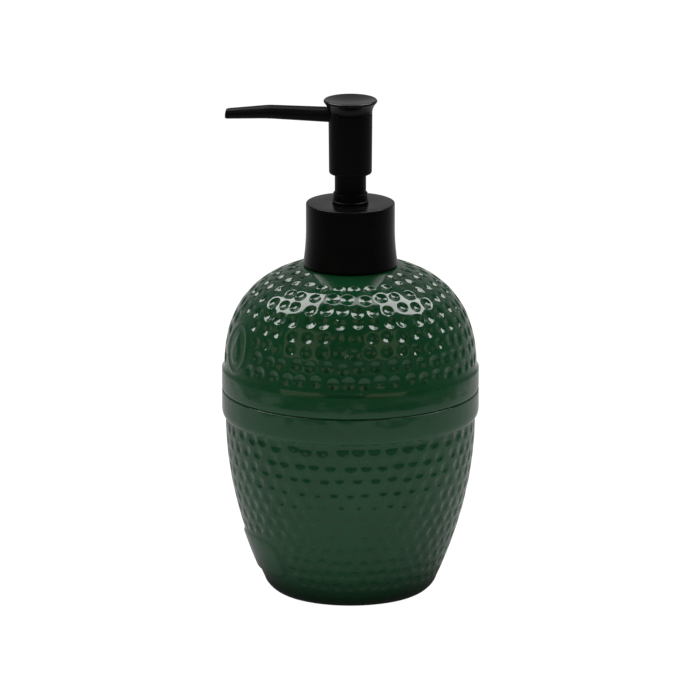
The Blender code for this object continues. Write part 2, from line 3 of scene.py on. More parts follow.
import bpy
import numpy as np
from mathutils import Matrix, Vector


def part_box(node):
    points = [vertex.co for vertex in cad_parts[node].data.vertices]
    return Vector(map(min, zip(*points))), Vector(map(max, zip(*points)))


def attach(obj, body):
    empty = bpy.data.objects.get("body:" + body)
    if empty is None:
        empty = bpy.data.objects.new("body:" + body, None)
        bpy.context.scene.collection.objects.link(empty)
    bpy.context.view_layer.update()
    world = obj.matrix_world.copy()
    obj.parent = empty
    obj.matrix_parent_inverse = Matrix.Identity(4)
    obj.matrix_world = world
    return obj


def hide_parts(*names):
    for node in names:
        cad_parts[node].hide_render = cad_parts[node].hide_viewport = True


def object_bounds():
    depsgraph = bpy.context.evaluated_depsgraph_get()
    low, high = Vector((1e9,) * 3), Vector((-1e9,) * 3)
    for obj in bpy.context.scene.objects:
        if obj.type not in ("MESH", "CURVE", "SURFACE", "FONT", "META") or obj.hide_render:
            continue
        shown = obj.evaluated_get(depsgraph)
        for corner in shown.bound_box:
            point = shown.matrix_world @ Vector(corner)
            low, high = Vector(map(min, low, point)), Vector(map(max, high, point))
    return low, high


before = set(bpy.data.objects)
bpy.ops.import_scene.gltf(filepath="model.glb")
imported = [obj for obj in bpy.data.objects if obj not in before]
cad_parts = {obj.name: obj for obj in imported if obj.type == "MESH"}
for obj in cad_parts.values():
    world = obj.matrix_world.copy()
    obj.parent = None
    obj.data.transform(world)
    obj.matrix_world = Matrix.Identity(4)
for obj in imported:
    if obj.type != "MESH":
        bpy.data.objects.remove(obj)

cad_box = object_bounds()
MM = 0.001
TURN = 2 * math.pi


# --- Ceramic bottle -------------------------------------------------------------------------------
# One slip-cast stoneware body, dipped in a deep green glaze. The mould gives it the rows of round
# dimples, the two bands, a plain oval medallion on the front and the smooth panel low under it.
# The glaze stops short of the foot ring, which the kiln shelf leaves bare.

BODY_R = 47.0 * MM
WALL_TOP = 67.0 * MM
CORNER_H = 4.8 * MM
WALL_DRAW = 14.5 * MM
WALL_POWER = 1.96
CORNER_W = 4.9 * MM
CORNER_POWER = 1.4
BAND_R = 48.4 * MM
NOTCH_R = 47.2 * MM
NOTCH_Z = 67.7 * MM
BAND_ROLL_H = 3.3 * MM
LOWER_BAND_TOP = 77.8 * MM
GROOVE_DEPTH = 0.6 * MM
FLARE_H = 2.1 * MM
BANDS_TOP = 86.0 * MM
DOME_R = 47.6 * MM
DOME_Z = 83.1 * MM
DOME_PEAK = 126.7 * MM
DOME_POWER = 2.58
SHOULDER_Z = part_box("collar_shell")[0][2] - 0.6 * MM
MOUTH_R = 11.8 * MM
MOUTH_OUT_R = 13.5 * MM
MOUTH_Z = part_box("bottle")[1][2]
WALL = 4.2 * MM
RECESS = 1.2 * MM
FLOOR_Z = 6.2 * MM
FOOT_RING = 4.5 * MM
COLUMNS = 340
ROW_STEP = 0.62 * MM
# Heights of the mesh's rows through the bands, over WALL_TOP: closest at the notch, groove and crease.
BAND_ROWS = MM * np.concatenate([
    np.linspace(0.2, 0.7, 4), [0.72, 0.80, 0.95, 1.25, 1.7, 2.4, 3.2, 4.0, 5.5, 7.5, 9.5],
    [10.35, 10.48, 10.58, 10.7, 10.8, 10.83, 10.95, 11.2, 11.7, 12.3, 12.8, 14, 16, 18], [18.7, 18.9, 18.97],
])

DIMPLE_R = 2.9 * MM
DIMPLE_DEPTH = 0.50 * MM
DIMPLE_RISE = 5.55 * MM              # from one row to the next, along the profile
WALL_RISE_LAST = 5.0 * MM
WALL_FIRST = 1.9 * MM                # from the notch down to the wall's top row
WALL_DIMPLES = 46
WALL_ROWS = 12
WALL_SHRINK = 0.58                   # how far the cups shrink with the wall's radius
WALL_SHARE = 0.70                    # depth of the lower wall's dimples over the dome's
DOME_FIRST = 4.4 * MM                # from the crease up to the dome's lowest row
DOME_DIMPLES_APART = 6.1 * MM
DOME_ROWS = 8                        # full rows; the one above them is broken
BARE_ARC = (math.radians(60), math.radians(38))      # middle and half width of the gap in the top row
FAR = 1.5                            # reach of a point that no cup is near
CUP_POWER = 1.8
STRAY_ASIDE = 0.12                   # most that a cup strays sideways, over the space between two
STRAY_ALONG = 0.55 * MM
SIZE_SPREAD = 0.08
DEPTH_SPREAD = 0.22

MEDALLION_Z = 97.5 * MM
MEDALLION_HALF = (8.4 * MM, 9.6 * MM)
MEDALLION_RING = 0.45 * MM
DROP_HALF = (3.5 * MM, 5.4 * MM)
DROP_HEIGHT = 0.4 * MM
PANEL_Z = 17.2 * MM
PANEL_HALF = (15.5 * MM, 7.6 * MM)
PANEL_HEIGHT = 0.7 * MM
MEDALLION_CLEAR = (3.0 * MM, 2.6 * MM)
PANEL_CLEAR = (1.5 * MM, 1.2 * MM)


def lower_wall(z):
    """Radius of the lower wall: drawn in towards the foot as a power of the depth, then a rounded corner."""
    depth = np.clip((WALL_TOP - z) / (WALL_TOP - CORNER_H), 0, 1)
    wall = BODY_R - WALL_DRAW * depth ** WALL_POWER
    corner = np.clip((CORNER_H - z) / CORNER_H, 0, 1)
    return wall - CORNER_W * (1 - (1 - corner ** CORNER_POWER) ** (1 / CORNER_POWER))


def dome(z):
    """Radius of the dome: a superellipse about the height of its widest circle."""
    height = np.clip((z - DOME_Z) / (DOME_PEAK - DOME_Z), 0, 1)
    return DOME_R * (1 - height ** DOME_POWER) ** (1 / DOME_POWER)


def step(value, low, high):
    """Smooth step from 0 at low to 1 at high."""
    t = np.clip((value - low) / (high - low), 0, 1)
    return t * t * (3 - 2 * t)


def rolled(value, low, high):
    """Quarter round: rises from 0 at low, steeply at first, to 1 at high."""
    t = np.clip((value - low) / (high - low), 0, 1)
    return np.sqrt(1 - (1 - t) ** 2)


def band_profile(z):
    """Radius through the bands: notch over the wall, rolled lower band, groove, upper band and crease."""
    foot = (NOTCH_R - BODY_R) * step(z, WALL_TOP, NOTCH_Z)
    lower = (BAND_R - NOTCH_R) * rolled(z, NOTCH_Z, NOTCH_Z + BAND_ROLL_H)
    lip = step(z, LOWER_BAND_TOP - 0.32 * MM, LOWER_BAND_TOP)
    upper = rolled(z, LOWER_BAND_TOP, LOWER_BAND_TOP + 2 * MM)
    return BODY_R + foot + lower - GROOVE_DEPTH * (lip - upper)


def evenly_along(r, z, spacing):
    """Points of a curve of radius and height, spaced evenly along its length."""
    length = np.concatenate([[0], np.cumsum(np.hypot(np.diff(r), np.diff(z)))])
    stops = np.linspace(0, length[-1], max(2, int(round(length[-1] / spacing)) + 1))
    return np.interp(stops, length, r), np.interp(stops, length, z)


def bottle_outline():
    """The bottle's outline from the middle of its underside, up the outside and down the inside."""
    foot_r = float(lower_wall(0.0))
    ring_r = foot_r - FOOT_RING
    parts = [(np.array([0, 0.35, 0.7, 0.96, 0.995, 1.0, 1.0, 1.02]) * ring_r,
              np.array([1, 1, 1, 1, 0.95, 0.8, 0.15, 0]) * RECESS)]
    parts.append((np.array([ring_r * 1.04, foot_r - 1.2 * MM, foot_r - 0.2 * MM]), np.zeros(3)))
    fine = CORNER_H * np.linspace(0.01, 1, 200) ** 2
    z = np.concatenate([fine, np.linspace(CORNER_H, WALL_TOP, 800)[1:]])
    parts.append(evenly_along(lower_wall(z), z, ROW_STEP))
    z = WALL_TOP + BAND_ROWS
    parts.append((band_profile(z), z))
    z = DOME_Z + (DOME_PEAK - DOME_Z) * np.sin(np.linspace(0.05, TURN / 4, 3000))
    z = z[(z > BANDS_TOP + 0.03 * MM) & (z < SHOULDER_Z)]
    r = dome(z) + (BAND_R - DOME_R) * np.clip(1 - (z - BANDS_TOP) / FLARE_H, 0, 1) ** 2
    parts.append(evenly_along(r, z, ROW_STEP))
    r = np.append(np.linspace(float(r[-1]), MOUTH_OUT_R + 0.6 * MM, 5)[1:], MOUTH_OUT_R)
    parts.append((r, SHOULDER_Z + np.array([0, 0, 0, 0.05, 0.6]) * MM))
    r = [MOUTH_OUT_R, MOUTH_OUT_R - 0.15 * MM, MOUTH_OUT_R - 0.6 * MM, MOUTH_R + 0.4 * MM, MOUTH_R, MOUTH_R]
    z = [MOUTH_Z - 0.8 * MM, MOUTH_Z - 0.25 * MM, MOUTH_Z, MOUTH_Z, MOUTH_Z - 0.4 * MM, SHOULDER_Z - WALL]
    parts.append((np.array(r), np.array(z)))
    height = np.sin(np.linspace(1.25, 0.15, 8))
    r = (DOME_R - WALL) * (1 - height ** DOME_POWER) ** (1 / DOME_POWER)
    parts.append((r, LOWER_BAND_TOP + height * (SHOULDER_Z - WALL - LOWER_BAND_TOP)))
    z = np.linspace(WALL_TOP, FLOOR_Z + 4 * MM, 8)
    parts.append((lower_wall(z) - WALL, z))
    r = float(lower_wall(FLOOR_Z + 4 * MM)) - WALL - np.array([1, 3, 7, 14, 22]) * MM
    parts.append((np.append(r, 0), FLOOR_Z + np.array([2, 0.7, 0.1, 0, 0, 0]) * MM))
    return np.concatenate([p[0] for p in parts]), np.concatenate([p[1] for p in parts])


def dimple_field(along, radius, angle, row_places, counts, sizes, seed, allowed):
    """Depth of the dimples, 0 to 1, and distance to the nearest cup over its radius, at each point.

    The points are given by their length along the profile, radius and angle.

    Each row is a ring of evenly spaced cups, turned half a space from the row below. Every cup is moved
    and sized a little by a seeded draw. A cup's depth falls off as (1 - q^2)^CUP_POWER, q being the
    distance from its centre over its radius. A point reads three cups of each of the three nearest rows.
    """
    draw = np.random.default_rng(seed)
    most = int(counts.max())
    shift_angle, shift_along, grow, deepen = draw.uniform(-1, 1, (4, len(counts), most))
    nearest = np.argmin(np.abs(along[:, None] - row_places[None, :]), axis=1)
    depth = np.zeros((len(along), angle.shape[0]))
    reach = np.full(depth.shape, FAR)
    for near in (-1, 0, 1):
        row = np.clip(nearest + near, 0, len(counts) - 1)
        count = counts[row][:, None]
        offset = 0.5 * (row % 2)[:, None]
        for side in (-1, 0, 1):
            cup = np.round(angle[None, :] * count / TURN - offset).astype(int) + side
            which = cup % count
            centre = (cup + offset + STRAY_ASIDE * shift_angle[row[:, None], which]) * TURN / count
            place = row_places[row][:, None] + STRAY_ALONG * shift_along[row[:, None], which]
            size = sizes[row][:, None] * (1 + SIZE_SPREAD * grow[row[:, None], which])
            across = (angle[None, :] - centre) * radius[:, None]
            q2 = (across ** 2 + (along[:, None] - place) ** 2) / size ** 2
            cup_angle = (centre + TURN / 2) % TURN - TURN / 2
            keep = allowed(cup_angle, row[:, None] + 0 * which)
            reach = np.where(keep, np.minimum(reach, np.sqrt(q2)), reach)
            deep = keep * (1 - DEPTH_SPREAD + DEPTH_SPREAD * deepen[row[:, None], which])
            depth = np.maximum(depth, deep * np.clip(1 - q2, 0, None) ** CUP_POWER)
    return depth, reach


def grid_faces(rows, columns, wrap):
    """Quads of a grid whose columns close on themselves, and whose rows do too if wrap is set."""
    i = np.arange(rows if wrap else rows - 1)[:, None]
    j = np.arange(columns)[None, :]
    across = (j + 1) % columns
    above = (i + 1) % rows
    corners = [i * columns + j, i * columns + across, above * columns + across, above * columns + j]
    return np.stack([c + 0 * (i + j) for c in corners], axis=-1).reshape(-1, 4)


def make_piece(name, points, wrap=True, poles=False):
    """A closed mesh from a grid of points (rows, columns, xyz). With poles, each end row is one point."""
    rows, columns = points.shape[:2]
    if poles:
        verts = np.concatenate([points[0, :1], points[1:-1].reshape(-1, 3), points[-1, :1]])
        quads = grid_faces(rows - 2, columns, False) + 1
        j = np.arange(columns)
        after = (j + 1) % columns
        last = 1 + (rows - 3) * columns
        low = np.stack([0 * j, 1 + after, 1 + j], axis=-1)
        high = np.stack([last + j, last + after, 0 * j + len(verts) - 1], axis=-1)
        faces = quads.tolist() + low.tolist() + high.tolist()
    else:
        verts = points.reshape(-1, 3)
        faces = grid_faces(rows, columns, wrap).tolist()
    mesh = bpy.data.meshes.new(name)
    mesh.from_pydata(verts.tolist(), [], faces)
    mesh.shade_smooth()
    mesh.update()
    piece = bpy.data.objects.new(name, mesh)
    bpy.context.collection.objects.link(piece)
    return piece


def mark_vertices(piece, label, values):
    """Stores one number for each vertex of a piece, for its material to read."""
    attribute = piece.data.attributes.new(label, "FLOAT", "POINT")
    attribute.data.foreach_set("value", values.astype(np.float32))


def build_bottle():
    """Turns the outline, then presses in the dimples and raises the medallion and the panel."""
    r, z = bottle_outline()
    angle = np.arange(COLUMNS) * TURN / COLUMNS
    along = np.concatenate([[0], np.cumsum(np.hypot(np.diff(r), np.diff(z)))])
    outside = np.arange(len(r)) < int(np.argmax(z))
    on_wall = outside & (z > 0.5 * MM) & (z < WALL_TOP + 0.5 * MM)
    on_dome = outside & (z > BANDS_TOP + 1 * MM) & (r > MOUTH_OUT_R + 2 * MM)
    front = (angle + TURN / 4 + TURN / 2) % TURN - TURN / 2      # angle from the bottle's front, -Y
    sideways = front[None, :] * r[:, None]

    squash = ((sideways / PANEL_HALF[0]) ** 4 + ((z - PANEL_Z)[:, None] / PANEL_HALF[1]) ** 4) ** 0.25
    panel = np.where(on_wall[:, None], 1 - step(squash, 0.93, 1.07), 0)
    oval = np.hypot(sideways / MEDALLION_HALF[0], (z - MEDALLION_Z)[:, None] / MEDALLION_HALF[1])
    medallion = np.where(on_dome[:, None], 1, 0)

    top = along[on_wall].max()
    rises = np.linspace(DIMPLE_RISE, WALL_RISE_LAST, WALL_ROWS)
    places = top - WALL_FIRST + DIMPLE_RISE - np.cumsum(rises)
    radii = np.interp(places, along[on_wall], r[on_wall])
    counts = np.full(WALL_ROWS, WALL_DIMPLES)
    sizes = DIMPLE_R * (1 - WALL_SHRINK + WALL_SHRINK * radii / BODY_R)
    heights = np.interp(places, along[on_wall], z[on_wall])

    def wall_allowed(cup_front, row):
        """Cups are left out where the smooth panel is."""
        away = np.abs(cup_front) * radii[row]
        level_with = np.abs(heights[row] - PANEL_Z) < PANEL_HALF[1] + PANEL_CLEAR[1]
        return ~(level_with & (away < PANEL_HALF[0] + PANEL_CLEAR[0]))

    depth, reach = dimple_field(along, r, front, places, counts, sizes, 11, wall_allowed)
    wall_depth = np.where(on_wall[:, None], WALL_SHARE * depth, 0)
    wall_reach = np.where(on_wall[:, None], reach, FAR)

    places = along[on_dome].min() + DOME_FIRST + np.arange(DOME_ROWS + 1) * DIMPLE_RISE
    dome_radii = np.interp(places, along[on_dome], r[on_dome])
    dome_heights = np.interp(places, along[on_dome], z[on_dome])
    counts = np.round(TURN * dome_radii / DOME_DIMPLES_APART).astype(int)
    sizes = np.full(len(places), DIMPLE_R)

    def dome_allowed(cup_front, row):
        """Cups are left out round the medallion and in part of the top row."""
        away = np.abs(cup_front) * dome_radii[row]
        across = away / (MEDALLION_HALF[0] + MEDALLION_CLEAR[0])
        upward = (dome_heights[row] - MEDALLION_Z) / (MEDALLION_HALF[1] + MEDALLION_CLEAR[1])
        side = (cup_front - BARE_ARC[0] + TURN / 2) % TURN - TURN / 2
        in_gap = (row >= DOME_ROWS) & (np.abs(side) < BARE_ARC[1])
        return ~((np.hypot(across, upward) < 1) | in_gap)

    depth, reach = dimple_field(along, r, front, places, counts, sizes, 23, dome_allowed)
    dome_depth = np.where(on_dome[:, None], depth, 0)
    dome_reach = np.where(on_dome[:, None], reach, FAR)

    ring = np.exp(-((oval - 0.93) / 0.075) ** 2)
    drop_z = (z - MEDALLION_Z)[:, None] / DROP_HALF[1]
    narrow = np.clip(1 - step(drop_z, -0.35, 1.05), 0.02, 1)
    bulge = np.hypot(sideways / (DROP_HALF[0] * narrow ** 0.75), np.minimum(drop_z + 0.3, 0) * 1.35)
    drop = np.where(np.abs(drop_z) < 1.05, 1 - step(bulge, 0.8, 1.1), 0)
    raised = medallion * (MEDALLION_RING * ring + DROP_HEIGHT * drop)

    depth = wall_depth + dome_depth
    height = raised + PANEL_HEIGHT * panel - DIMPLE_DEPTH * depth * (1 - panel)
    slope_r = np.gradient(z, along)
    slope_z = -np.gradient(r, along)
    out = r[:, None] + height * slope_r[:, None]
    up = z[:, None] + height * slope_z[:, None]
    out = np.minimum(out, cad_box[1][0])
    points = np.stack([out * np.cos(angle), out * np.sin(angle), up], axis=-1)
    bottle = make_piece("glazed_bottle", points, poles=True)

    bare = outside & (np.abs(z) < 0.01 * MM) & (r < float(lower_wall(0.0)) - 0.1 * MM)
    # Painted shade: a mark that darkens the glaze's colour towards the foot, where the bottle stands in the
    # table's shade.
    painted_foot_shade = np.where(outside, 1 - step(z, 1 * MM, 13 * MM), 0)
    grids = {"pool": depth, "bare": bare[:, None] + 0 * depth, "painted_foot_shade": painted_foot_shade[:, None] + 0 * depth,
             "reach": np.minimum(wall_reach, dome_reach)}
    for label, grid in grids.items():
        pole = FAR if label == "reach" else 0
        mark_vertices(bottle, label, np.concatenate([[pole], grid[1:-1].ravel(), [pole]]))
    return bottle


class Recipe:
    """A Principled material under construction: adds nodes and links them by short calls."""

    def __init__(self, name, **sockets):
        self.material = bpy.data.materials.new(name)
        self.material.use_nodes = True
        self.tree = self.material.node_tree
        self.shader = self.tree.nodes["Principled BSDF"]
        for label, value in sockets.items():
            self.shader.inputs[label.replace("_", " ")].default_value = value
        self.place = self.add("ShaderNodeTexCoord").outputs["Object"]

    def add(self, kind, **values):
        """Adds a node; values set its inputs by name, or its own settings where it has no such input."""
        node = self.tree.nodes.new(kind)
        for label, value in values.items():
            socket = node.inputs.get(label.replace("_", " "))
            if socket is None:
                setattr(node, label, value)
            elif isinstance(value, bpy.types.NodeSocket):
                self.tree.links.new(value, socket)
            else:
                socket.default_value = value
        return node

    def noise(self, scale, detail=2.0, vector=None):
        """Value of a noise pattern, its scale in features per metre."""
        node = self.add("ShaderNodeTexNoise", Scale=scale, Detail=detail, Vector=vector or self.place)
        return node.outputs[0]

    def mark(self, label):
        """Value that is stored at each vertex under a label."""
        return self.add("ShaderNodeAttribute", attribute_name=label).outputs["Fac"]

    def ramp(self, value, stops):
        """Colour or grey from a value, through (place, colour) stops."""
        node = self.add("ShaderNodeValToRGB", Fac=value)
        elements = node.color_ramp.elements
        while len(elements) < len(stops):
            elements.new(0.5)
        for element, (place, colour) in zip(elements, stops):
            element.position = place
            element.color = (colour, colour, colour, 1) if isinstance(colour, float) else (*colour, 1)
        return node.outputs[0]

    def mix(self, factor, first, second, blend="MIX"):
        """Mixes two colours, either of which may be a socket or a colour."""
        node = self.add("ShaderNodeMix", data_type="RGBA", blend_type=blend)
        for index, value in ((0, factor), (6, first), (7, second)):
            if isinstance(value, bpy.types.NodeSocket):
                self.tree.links.new(value, node.inputs[index])
            else:
                node.inputs[index].default_value = value if index == 0 else (*value, 1)
        return node.outputs[2]

    def bump(self, height, strength, distance, before=None):
        """A bump from a height pattern, its distance in metres."""
        node = self.add("ShaderNodeBump", Height=height, Strength=strength, Distance=distance)
        if before is not None:
            self.tree.links.new(before, node.inputs["Normal"])
        return node.outputs[0]

    def math(self, operation, *values):
        """Result of a math node on sockets or numbers."""
        node = self.add("ShaderNodeMath", operation=operation)
        for socket, value in zip(node.inputs, values):
            if isinstance(value, bpy.types.NodeSocket):
                self.tree.links.new(value, socket)
            else:
                socket.default_value = value
        return node.outputs[0]

    def drive(self, **links):
        """Links outputs to the shader's sockets and returns the material."""
        for label, output in links.items():
            self.tree.links.new(output, self.shader.inputs[label.replace("_", " ")])
        return self.material


RIM_REACH = 0.86                     # where a dimple's crisp rim lies, over its radius
RIM_DEPTH = 0.48 * MM
RIM_FULL_FROM = 80 * MM              # height above which the rims are at full depth, and below which
RIM_SHARE = 0.55                     # they have this share of it


def green_glaze():
    """Deep green glaze: darker where it pools in the dimples, with painted shade darkening it towards the
    foot, bare on the foot ring.

    A cup's crisp rim is the glaze's own relief, of depth (1 - q^2)^1.25, q being the reach over RIM_REACH.
    """
    mix = Recipe("green_glaze", Roughness=0.08, IOR=1.5)
    cloud = mix.noise(38, 3)
    fine = mix.noise(420, 2)
    bare = mix.mark("bare")
    body = mix.ramp(cloud, [(0.30, (0.0040, 0.036, 0.0125)), (0.72, (0.0052, 0.044, 0.0155))])
    thick = mix.mix(mix.ramp(mix.mark("pool"), [(0.05, 0.0), (0.9, 0.22)]), body, (0.0018, 0.022, 0.0075))
    grain = mix.mix(mix.ramp(fine, [(0.60, 0.0), (0.80, 0.30)]), thick, (0.0065, 0.052, 0.019))
    # Painted shade: the colour is darkened towards the foot, where the bottle stands in the table's shade.
    grain = mix.mix(mix.ramp(mix.mark("painted_foot_shade"), [(0.0, 0.0), (1.0, 0.65)]), grain, (0.0012, 0.010, 0.0035))
    clay = mix.ramp(mix.noise(900, 3), [(0.3, (0.52, 0.49, 0.43)), (0.7, (0.66, 0.63, 0.57))])
    colour = mix.mix(bare, grain, clay)
    gloss = mix.mix(bare, mix.ramp(fine, [(0.3, 0.055), (0.7, 0.10)]), (0.85, 0.85, 0.85))
    inside = mix.math("MINIMUM", mix.math("DIVIDE", mix.mark("reach"), RIM_REACH), 1.0)
    cup = mix.math("POWER", mix.math("SUBTRACT", 1.0, mix.math("MULTIPLY", inside, inside)), 1.25)
    level = mix.add("ShaderNodeSeparateXYZ", Vector=mix.place).outputs[2]
    on_dome = mix.math("GREATER_THAN", level, RIM_FULL_FROM)
    share = mix.math("MULTIPLY_ADD", on_dome, 1 - RIM_SHARE, RIM_SHARE)
    rims = mix.bump(mix.math("MULTIPLY", mix.math("SUBTRACT", 1.0, cup), share), 1.0, RIM_DEPTH)
    ripple = mix.bump(mix.noise(95, 1), 0.35, 0.0006, rims)
    skin = mix.bump(mix.noise(700, 1), 0.10, 0.0001, ripple)
    return mix.drive(Base_Color=colour, Roughness=gloss, Normal=skin)


bottle = build_bottle()
bottle.data.materials.append(green_glaze())
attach(bottle, "bottle")
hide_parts("bottle")


# --- Screw collar ---------------------------------------------------------------------------------
# The tall outer shell of the collar: satin black plastic with a flat top, a small round edge and a
# gentle flare where it comes down on the bottle's shoulder. It is snapped over the threaded cap.

BLACK_COLUMNS = 160
THUMB_POLISH = 0.28


def black_plastic(name, rough_low, rough_high, level, grain):
    """Satin black moulding: fine spark-eroded grain, slightly uneven sheen and a trace of dust.

    The thumb attribute, where a piece has it, marks a face that use has polished.
    """
    mix = Recipe(name, IOR=1.46)
    uneven = mix.noise(120, 3)
    dust = mix.noise(2600, 2)
    colour = mix.ramp(dust, [(0.55, (0.0018, 0.0019, 0.0019)), (0.80, (0.0034, 0.0035, 0.0035))])
    sheen = mix.ramp(uneven, [(0.35, rough_low), (0.65, rough_high)])
    skin = mix.bump(mix.noise(9000, 1), grain, 0.00004)
    polish = mix.math("MULTIPLY_ADD", mix.mark("thumb"), THUMB_POLISH, level)
    return mix.drive(Base_Color=colour, Roughness=sheen, Normal=skin, Specular_IOR_Level=polish)


def rounded(corners, steps=6):
    """An outline from (radius, height, fillet) corners.

    Each corner is rounded by a parabola that touches both its edges one fillet away from the corner, or
    0.45 of the shorter edge where that is less.
    """
    points = np.array([c[:2] for c in corners], float)
    fillet = np.array([c[2] for c in corners], float)
    before, after = np.roll(points, 1, axis=0) - points, np.roll(points, -1, axis=0) - points
    long_before, long_after = np.linalg.norm(before, axis=1), np.linalg.norm(after, axis=1)
    reach = np.minimum(fillet, 0.45 * np.minimum(long_before, long_after))
    reach[np.isclose(points[:, 0], 0)] = 0
    into = points + before * (reach / long_before)[:, None]
    out_of = points + after * (reach / long_after)[:, None]
    t = np.linspace(0, 1, steps)[None, :, None]
    curve = (1 - t) ** 2 * into[:, None] + 2 * t * (1 - t) * points[:, None] + t ** 2 * out_of[:, None]
    curve = [row if size > 0 else row[:1] for row, size in zip(curve, reach)]
    return np.concatenate(curve)


def turned(name, outline, columns=BLACK_COLUMNS, poles=False, sharp=50):
    """A turned piece: the outline's points (radius, height), carried once round the Z axis."""
    angle = np.arange(columns) * TURN / columns
    r, z = outline[:, 0][:, None], outline[:, 1][:, None]
    points = np.stack([r * np.cos(angle), r * np.sin(angle), z + 0 * angle], axis=-1)
    piece = make_piece(name, points, poles=poles)
    piece.data.set_sharp_from_angle(angle=math.radians(sharp))
    return piece


def fit_out(piece, body, node, finish):
    """Gives a new piece its material and the body it moves with, and hides the CAD node it stands for."""
    piece.data.materials.append(finish)
    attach(piece, body)
    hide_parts(node)
    return piece


side_finish = black_plastic("black_plastic", 0.34, 0.42, 0.11, 0.20)
top_finish = black_plastic("black_plastic_smooth", 0.20, 0.26, 0.20, 0.08)

low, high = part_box("collar_shell")
collar_z, collar_top, foot_r = low[2], high[2], high[0]
collar_r = 16.7 * MM
collar_bore = 15.4 * MM
collar_hole = 6.65 * MM
flare_h = 14 * MM
flare_z = np.linspace(0, flare_h, 12)
flare = np.stack([collar_r + (foot_r - collar_r) * (1 - flare_z / flare_h) ** 2, collar_z + flare_z], axis=-1)
flare = flare[1:]
shell = rounded([
    (foot_r, collar_z, 0.25 * MM), *[(r, z, 0) for r, z in flare], (collar_r, collar_top, 0.55 * MM),
    (collar_hole, collar_top, 0.2 * MM), (collar_hole, collar_top - 1.2 * MM, 0.1 * MM),
    (collar_bore, collar_top - 1.2 * MM, 0.4 * MM), (collar_bore, collar_z, 0.2 * MM),
])
fit_out(turned("collar_outer_shell", shell), "collar", "collar_shell", top_finish)


# --- Chaplet --------------------------------------------------------------------------------------
# The black guide ring snapped into the pump housing's mouth. Its thin lip stands out of the collar's
# hole round the stem, and the bead at the lip's foot keeps the collar on the pump.

low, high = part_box("chaplet")
lip_top, chaplet_z, body_r = high[2], low[2], high[0]
lip_r = 6.45 * MM
lip_bore = 6.0 * MM
rod_hole = 3.7 * MM
bead_z = collar_top + 0.3 * MM
seat_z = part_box("pump_housing")[1][2]
ring = rounded([
    (rod_hole, chaplet_z, 0.2 * MM), (body_r, chaplet_z, 0.3 * MM), (body_r, seat_z, 0.2 * MM),
    (lip_r, seat_z, 0.1 * MM), (lip_r, bead_z, 0.1 * MM), (lip_r + 0.4 * MM, bead_z + 0.2 * MM, 0.2 * MM),
    (lip_r + 0.4 * MM, bead_z + 0.5 * MM, 0.2 * MM), (lip_r, bead_z + 0.7 * MM, 0.1 * MM),
    (lip_r, lip_top, 0.2 * MM), (lip_bore, lip_top, 0.15 * MM), (lip_bore, chaplet_z + 1.5 * MM, 0.2 * MM),
    (rod_hole, chaplet_z + 1.5 * MM, 0.2 * MM),
])
fit_out(turned("chaplet_ring", ring, 96), "pump_body", "chaplet", side_finish)


# --- Pump head ------------------------------------------------------------------------------------
# Three black mouldings pressed together: a core whose thin sleeve runs down into the chaplet and that
# is bored for the plunger's rod, a barrel round it, and a flared cap with a dished top for the thumb.

low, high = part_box("head_core")
sleeve_z, core_top, core_r = low[2], high[2], high[0]
low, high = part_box("head_barrel")
barrel_z, seam_z, barrel_top_r = low[2], high[2], high[0]
low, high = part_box("head_cap")
plug_z, head_top, rim_r = low[2], high[2], high[0]
rod_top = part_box("piston_rod")[1][2] + 0.3 * MM
barrel_foot_r = 8.05 * MM
sleeve_r = 5.9 * MM
barrel_bore = 7.15 * MM
rod_bore = 3.7 * MM
channel_r = 1.6 * MM
channel_top = core_top - 1.9 * MM
boss_r = 5.65 * MM
step_z = barrel_z + 1.8 * MM
boss_z = plug_z - 0.6 * MM
core = rounded([
    (0, channel_top, 0), (channel_r, channel_top, 0.1 * MM), (channel_r, rod_top, 0.1 * MM),
    (rod_bore, rod_top, 0.1 * MM), (rod_bore, sleeve_z, 0.3 * MM), (sleeve_r, sleeve_z, 0.35 * MM),
    (sleeve_r, step_z, 0.1 * MM), (core_r, step_z, 0.2 * MM), (core_r, boss_z, 0.2 * MM),
    (boss_r, boss_z, 0.2 * MM), (boss_r, core_top, 0.4 * MM), (0, core_top, 0),
])
fit_out(turned("head_core_moulding", core, 96, poles=True), "head", "head_core", side_finish)

hole_r = sleeve_r + 0.1 * MM
floor_z = barrel_z + 1.5 * MM
barrel = rounded([
    (hole_r, barrel_z, 0.15 * MM), (barrel_foot_r, barrel_z, 0.95 * MM), (barrel_top_r, seam_z, 0.2 * MM),
    (barrel_bore, seam_z, 0.1 * MM), (barrel_bore, floor_z, 0.2 * MM), (hole_r, floor_z, 0.1 * MM),
])
fit_out(turned("head_barrel_moulding", barrel, 120), "head", "head_barrel", side_finish)

